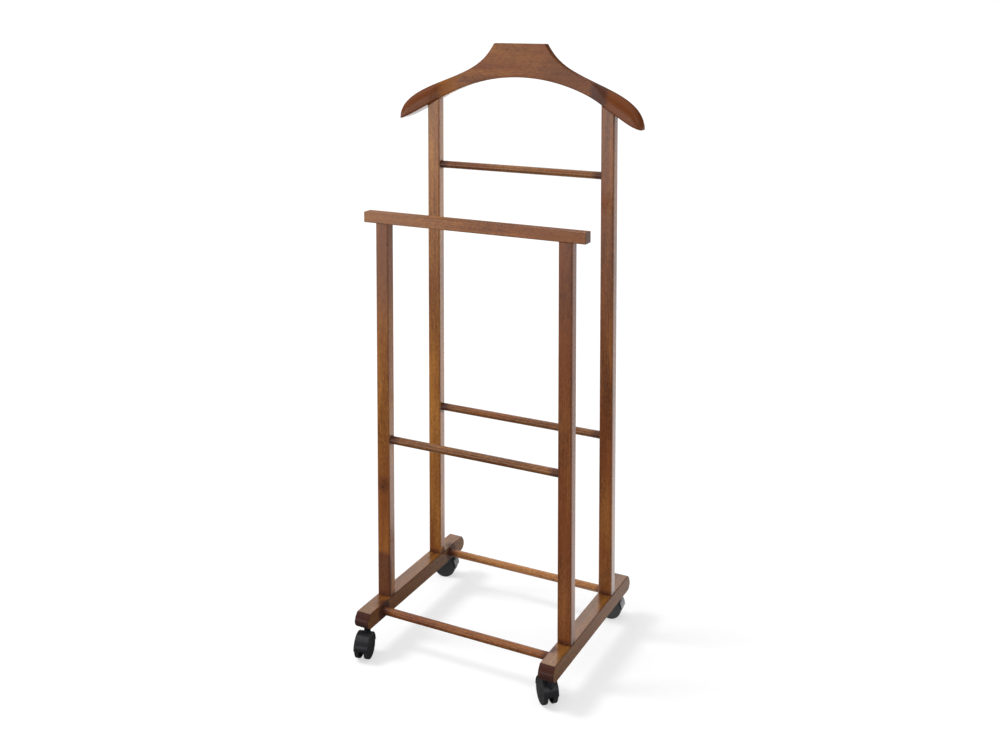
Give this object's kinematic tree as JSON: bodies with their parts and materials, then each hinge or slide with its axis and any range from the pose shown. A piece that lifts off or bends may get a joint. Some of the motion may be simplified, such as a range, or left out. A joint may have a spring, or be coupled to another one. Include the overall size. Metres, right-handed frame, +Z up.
{
  "type": "clothes valet stand",
  "caption": "Wooden clothes valet stand with a jacket hanger, a trouser rail, cross dowels and a base on swivelling twin-wheel casters.",
  "frame": {"origin": "on the floor, midway between the four uprights", "axes": "+Z up, -Y towards the front frame with the flat rail, +X to the right seen from the front"},
  "size_m": [0.462, 0.3486, 1.005],
  "materials": {
    "stained_wood": "satin, walnut stain",
    "raw_wood": "plain",
    "steel": "zinc plated",
    "insert_metal": "plain",
    "socket_plastic": "matte",
    "hood_plastic": "satin",
    "wheel_plastic": "matte"
  },
  "bodies": {
    "frame": {"left_foot_bar": "stained_wood", "right_foot_bar": "stained_wood", "front_base_dowel": "stained_wood", "rear_base_dowel": "stained_wood", "front_left_upright": "stained_wood", "front_right_upright": "stained_wood", "rear_left_upright": "stained_wood", "rear_right_upright": "stained_wood", "front_top_rail": "stained_wood", "front_cross_dowel": "stained_wood", "rear_lower_dowel": "stained_wood", "rear_top_dowel": "stained_wood", "hanger": "stained_wood", "rail_pins": "raw_wood", "hanger_pins": "raw_wood", "upright_bolts": "steel", "bolt_washers": "steel", "threaded_inserts": "insert_metal", "front_left_caster_socket": "socket_plastic", "front_right_caster_socket": "socket_plastic", "rear_left_caster_socket": "socket_plastic", "rear_right_caster_socket": "socket_plastic"},
    "front_left_swivel": {"front_left_caster_stem": "steel", "front_left_caster_grip_ring": "steel", "front_left_caster_hood": "hood_plastic", "front_left_caster_axle": "steel"},
    "front_left_left_wheel": {"front_left_caster_left_wheel": "wheel_plastic"},
    "front_left_right_wheel": {"front_left_caster_right_wheel": "wheel_plastic"},
    "front_right_swivel": {"front_right_caster_stem": "steel", "front_right_caster_grip_ring": "steel", "front_right_caster_hood": "hood_plastic", "front_right_caster_axle": "steel"},
    "front_right_left_wheel": {"front_right_caster_left_wheel": "wheel_plastic"},
    "front_right_right_wheel": {"front_right_caster_right_wheel": "wheel_plastic"},
    "rear_left_swivel": {"rear_left_caster_stem": "steel", "rear_left_caster_grip_ring": "steel", "rear_left_caster_hood": "hood_plastic", "rear_left_caster_axle": "steel"},
    "rear_left_left_wheel": {"rear_left_caster_left_wheel": "wheel_plastic"},
    "rear_left_right_wheel": {"rear_left_caster_right_wheel": "wheel_plastic"},
    "rear_right_swivel": {"rear_right_caster_stem": "steel", "rear_right_caster_grip_ring": "steel", "rear_right_caster_hood": "hood_plastic", "rear_right_caster_axle": "steel"},
    "rear_right_left_wheel": {"rear_right_caster_left_wheel": "wheel_plastic"},
    "rear_right_right_wheel": {"rear_right_caster_right_wheel": "wheel_plastic"}
  },
  "joints": [
    {"name": "front_left_swivel_turn", "type": "hinge", "parent": "frame", "child": "front_left_swivel", "pos_m": [-0.166, -0.146, 0.047], "axis": [0, 0, 1], "continuous": true},
    {"name": "front_left_left_wheel_spin", "type": "hinge", "parent": "front_left_swivel", "child": "front_left_left_wheel", "pos_m": [-0.16261, -0.15958, 0.02], "axis": [0.9703, 0.2419, 0], "continuous": true},
    {"name": "front_left_right_wheel_spin", "type": "hinge", "parent": "front_left_swivel", "child": "front_left_right_wheel", "pos_m": [-0.16261, -0.15958, 0.02], "axis": [0.9703, 0.2419, 0], "continuous": true},
    {"name": "front_right_swivel_turn", "type": "hinge", "parent": "frame", "child": "front_right_swivel", "pos_m": [0.166, -0.146, 0.047], "axis": [0, 0, 1], "continuous": true},
    {"name": "front_right_left_wheel_spin", "type": "hinge", "parent": "front_right_swivel", "child": "front_right_left_wheel", "pos_m": [0.15627, -0.13593, 0.02], "axis": [-0.7193, -0.6947, 0], "continuous": true},
    {"name": "front_right_right_wheel_spin", "type": "hinge", "parent": "front_right_swivel", "child": "front_right_right_wheel", "pos_m": [0.15627, -0.13593, 0.02], "axis": [-0.7193, -0.6947, 0], "continuous": true},
    {"name": "rear_left_swivel_turn", "type": "hinge", "parent": "frame", "child": "rear_left_swivel", "pos_m": [-0.166, 0.146, 0.047], "axis": [0, 0, 1], "continuous": true},
    {"name": "rear_left_left_wheel_spin", "type": "hinge", "parent": "rear_left_swivel", "child": "rear_left_left_wheel", "pos_m": [-0.17969, 0.14309, 0.02], "axis": [0.2079, -0.9781, 0], "continuous": true},
    {"name": "rear_left_right_wheel_spin", "type": "hinge", "parent": "rear_left_swivel", "child": "rear_left_right_wheel", "pos_m": [-0.17969, 0.14309, 0.02], "axis": [0.2079, -0.9781, 0], "continuous": true},
    {"name": "rear_right_swivel_turn", "type": "hinge", "parent": "frame", "child": "rear_right_swivel", "pos_m": [0.166, 0.146, 0.047], "axis": [0, 0, 1], "continuous": true},
    {"name": "rear_right_left_wheel_spin", "type": "hinge", "parent": "rear_right_swivel", "child": "rear_right_left_wheel", "pos_m": [0.15208, 0.14454, 0.02], "axis": [0.1045, -0.9945, 0], "continuous": true},
    {"name": "rear_right_right_wheel_spin", "type": "hinge", "parent": "rear_right_swivel", "child": "rear_right_right_wheel", "pos_m": [0.15208, 0.14454, 0.02], "axis": [0.1045, -0.9945, 0], "continuous": true}
  ]
}
